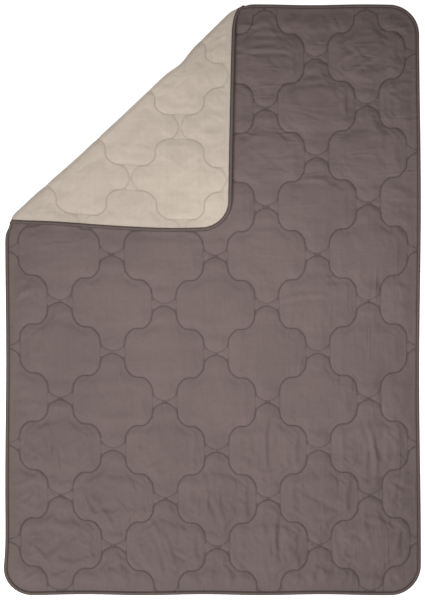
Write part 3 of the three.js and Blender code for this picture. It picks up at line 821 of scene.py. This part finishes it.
# ---------------------------------------------------------------- binding
def band(section, spacing=0.005):
    """A closed band round the outline: section gives insets and heights, anticlockwise."""
    guide_inset = 0.02
    centre_line, at = outline_path(guide_inset, spacing)
    ahead = np.roll(centre_line, -1, axis=0) - np.roll(centre_line, 1, axis=0)
    outwards = np.stack([ahead[:, 1], -ahead[:, 0]], 1)
    outwards /= np.linalg.norm(outwards, axis=1)[:, None]
    count, size = len(at), len(section)
    points = np.zeros((size, count, 3))
    for n, (inset, height) in enumerate(section):
        points[n, :, :2] = centre_line + outwards * (guide_inset - inset)
        points[n, :, 2] = height
    faces = []
    for n in range(size):
        for i in range(count):
            j, m = (i + 1) % count, (n + 1) % size
            faces.append((n * count + i, n * count + j, m * count + j, m * count + i))
    return points, faces, at


def tape_section():
    """The folded tape, crowned between its seam and its rounded edge, as insets and heights."""
    leg = ((0.0125, -0.0002), (0.0117, -0.0006), (BINDING_SEAM, -0.0012), (0.0099, -0.0005),
           (0.0085, 0.0004), (0.0065, 0.0008), (0.0045, 0.0006), (0.0028, 0))
    lower = [(inset, EDGE_LOW - 0.75 * rise) for inset, rise in leg]
    upper = [(inset, EDGE_HIGH + rise) for inset, rise in leg[::-1]]
    middle, radius = (EDGE_LOW + EDGE_HIGH) / 2, (EDGE_HIGH - EDGE_LOW) / 2
    edge = [
        (0.0028 - 0.0028 * math.cos(turn), middle + radius * math.sin(turn))
        for turn in np.linspace(-0.5, 0.5, 9)[1:-1] * math.pi
    ]
    inner = [(0.0123, EDGE_HIGH - 2.5 * TAPE), (0.005, EDGE_HIGH - TAPE), (0.003, middle),
             (0.005, EDGE_LOW + TAPE), (0.0123, EDGE_LOW + 1.5 * TAPE)]
    return lower + edge + upper + inner


def make_binding():
    """The folded tape, with small waves that are largest round the quilt's corners."""
    section = tape_section()
    points, faces, at = band(section)
    ripple = np.sin(at * 410 + 2 * np.sin(at * 23)) + 0.6 * np.sin(at * 710 + 1.3)
    corner = np.abs(np.abs(points[0][:, 0]) - WIDTH / 2 + CORNER_RADIUS / 2) < CORNER_RADIUS / 2
    corner &= np.abs(np.abs(points[0][:, 1]) - LENGTH / 2 + CORNER_RADIUS / 2) < CORNER_RADIUS / 2
    ripple *= np.where(corner, 1.0, 0.35)
    gap = np.zeros(points.shape[:2])
    for n, (inset, height) in enumerate(section):
        face = 1 if height > COVER_STITCH - TAPE else -1 if height < EDGE_LOW + TAPE else 0
        share = 0.3 if face < 0 else 1 if 0.003 < inset < 0.01 else 0.4
        points[n, :, 2] += face * share * 0.0004 * ripple
        # Painted shade: the gap is smallest at the binding's seam and at its rounded outer edge,
        # so the tape is darker at both.
        gap[n] = min(abs(inset - BINDING_SEAM), 0.6 * inset)
    flat = points[:, :, :2].reshape(-1, 2)
    return three_parts("binding", points.reshape(-1, 3), faces, flat, gap.ravel(), BINDING,
                       "binding", (["edge_binding"], ["corner_binding"],
                                   ["fold_binding_top", "fold_binding_side"]))


binding = make_binding()


# ---------------------------------------------------------------- wadding
def make_wadding():
    """The wadding between the cloths, seen only where a seam gapes, so it is left coarse."""
    inner = CLOTH_HALF - 0.004
    cloth = flat_cloth(-inner, inner, 0.012)
    fill = 1 - np.exp(-((cloth["gap"] / 0.05) ** 1.4))
    fill *= smooth((inset_at(cloth["flat"]) - BINDING_WIDTH) / 0.05) * off_crease(cloth["flat"])
    top = COVER_STITCH - 0.0014 + 0.2 * COVER_RISE * fill
    bottom = LINING_STITCH + 0.0004 - 0.4 * (LINING_STITCH - LINING_REST) * fill
    count = len(top)
    points = np.vstack([np.column_stack([cloth["flat"], top]),
                        np.column_stack([cloth["flat"], bottom])])
    faces = cloth["faces"].tolist()
    edges = {}
    for face in faces:
        for a, b in zip(face, face[1:] + face[:1]):
            if (b, a) in edges:
                del edges[(b, a)]
            else:
                edges[(a, b)] = True
    closed = faces + [[i + count for i in f[::-1]] for f in faces]
    closed += [[a, a + count, b + count, b] for a, b in edges]
    flat = np.vstack([cloth["flat"]] * 2)
    return three_parts("wadding", points, closed, flat, np.zeros(2 * count), WADDING,
                       "wadding", (["insulation_batt"], ["corner_batt"], ["fold_batt"]))


wadding = make_wadding()


# ---------------------------------------------------------------- stitches
def stitches(name, lines, height, side, finish, slot, node_start, pitch=0.0052, bite=0.0038):
    """Short stitches along lines at one height, on the upper (1) or lower (-1) face.

    They stand for the CAD nodes whose names begin with node_start, main part first.
    """
    half_width = 0.00045
    rings = []
    for line in lines:
        even = respace(line[:, :2], pitch)
        middle = (even[:-1] + even[1:]) / 2
        ahead = np.diff(even, axis=0)
        length = np.linalg.norm(ahead, axis=1)
        good = (length < pitch * 1.5) & (length > 1e-5)
        middle, ahead = middle[good], ahead[good] / length[good][:, None]
        beside = np.stack([-ahead[:, 1], ahead[:, 0]], 1)
        z = np.full((len(middle), 1), height)
        lift = side * 0.0004
        ring = [
            np.hstack([middle - ahead * bite / 2, z - lift]),
            np.hstack([middle + beside * half_width, z]),
            np.hstack([middle - beside * half_width, z]),
            np.hstack([middle, z + lift]),
            np.hstack([middle + ahead * bite / 2, z - lift]),
        ]
        rings.append(np.stack(ring, 1))
    points = np.vstack(rings)
    reach = reach_in(points[:, 3])
    pattern = [(0, 2, 3), (0, 3, 1), (4, 3, 2), (4, 1, 3), (0, 1, 2), (4, 2, 1)]
    for body, chosen in ((ROOT, reach > 0.002), (CORNER, reach < -0.002)):
        some = points[chosen]
        if not len(some):
            continue
        flat_points = some.reshape(-1, 3)
        faces = [[5 * n + i for i in face] for n in range(len(some)) for face in pattern]
        if side < 0:
            faces = [face[::-1] for face in faces]
        placed = flat_points if body == ROOT else turn_over(flat_points)
        label = f"{name}_{'main' if body == ROOT else 'corner'}"
        start = node_start[body == CORNER]
        nodes = [n for n in frame["nodes"] if start and n.startswith(start)]
        piece = new_piece(label, placed, faces, flat_points, np.zeros(len(placed)),
                          finish, slot, nodes)
        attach(piece, body)


def inside_seam(line):
    """The part of a stitched line that the binding leaves in the open."""
    return line[inset_at(line) > BINDING_WIDTH + 0.0015]


rows = [inside_seam(line) for line in ROW_LINES]
columns = [inside_seam(line) for line in COLUMN_LINES]
seam_line = outline_path(BINDING_SEAM, 0.002)[0]
stitches("row_stitches", rows, COVER_STITCH - 0.0003, 1, THREAD, "thread",
         ("stitch_row", None))
stitches("column_stitches", columns, COVER_STITCH, 1, THREAD, "thread",
         ("stitch_column", None))
stitches("row_stitches_under", rows, LINING_STITCH - 0.0003, -1, LINING_THREAD,
         "lining_thread", (None, "corner_stitch_row"))
stitches("column_stitches_under", columns, LINING_STITCH - 0.0006, -1, LINING_THREAD,
         "lining_thread", (None, "corner_stitch_column"))
stitches("binding_seam_over", [seam_line], EDGE_HIGH - 0.0002, 1, THREAD, "thread",
         ("binding_seam_upper", "corner_seam_inner"), 0.0042, 0.003)
stitches("binding_seam_under", [seam_line], EDGE_LOW + 0.0002, -1, THREAD, "thread",
         ("binding_seam_lower", "corner_seam_outer"), 0.0042, 0.003)

# ---------------------------------------------------------------- floor
bpy.ops.mesh.primitive_plane_add(size=60, location=(0, 0, 0))
floor = bpy.context.object
floor.name = "floor"
white = bpy.data.materials.new("floor")
white.use_nodes = True
floor_shader = white.node_tree.nodes["Principled BSDF"]
floor_shader.inputs["Base Color"].default_value = (0.93, 0.93, 0.93, 1)
floor_shader.inputs["Roughness"].default_value = 0.9
floor_shader.inputs["Emission Color"].default_value = (1, 1, 1, 1)
floor_shader.inputs["Emission Strength"].default_value = 0.9
floor.data.materials.append(white)
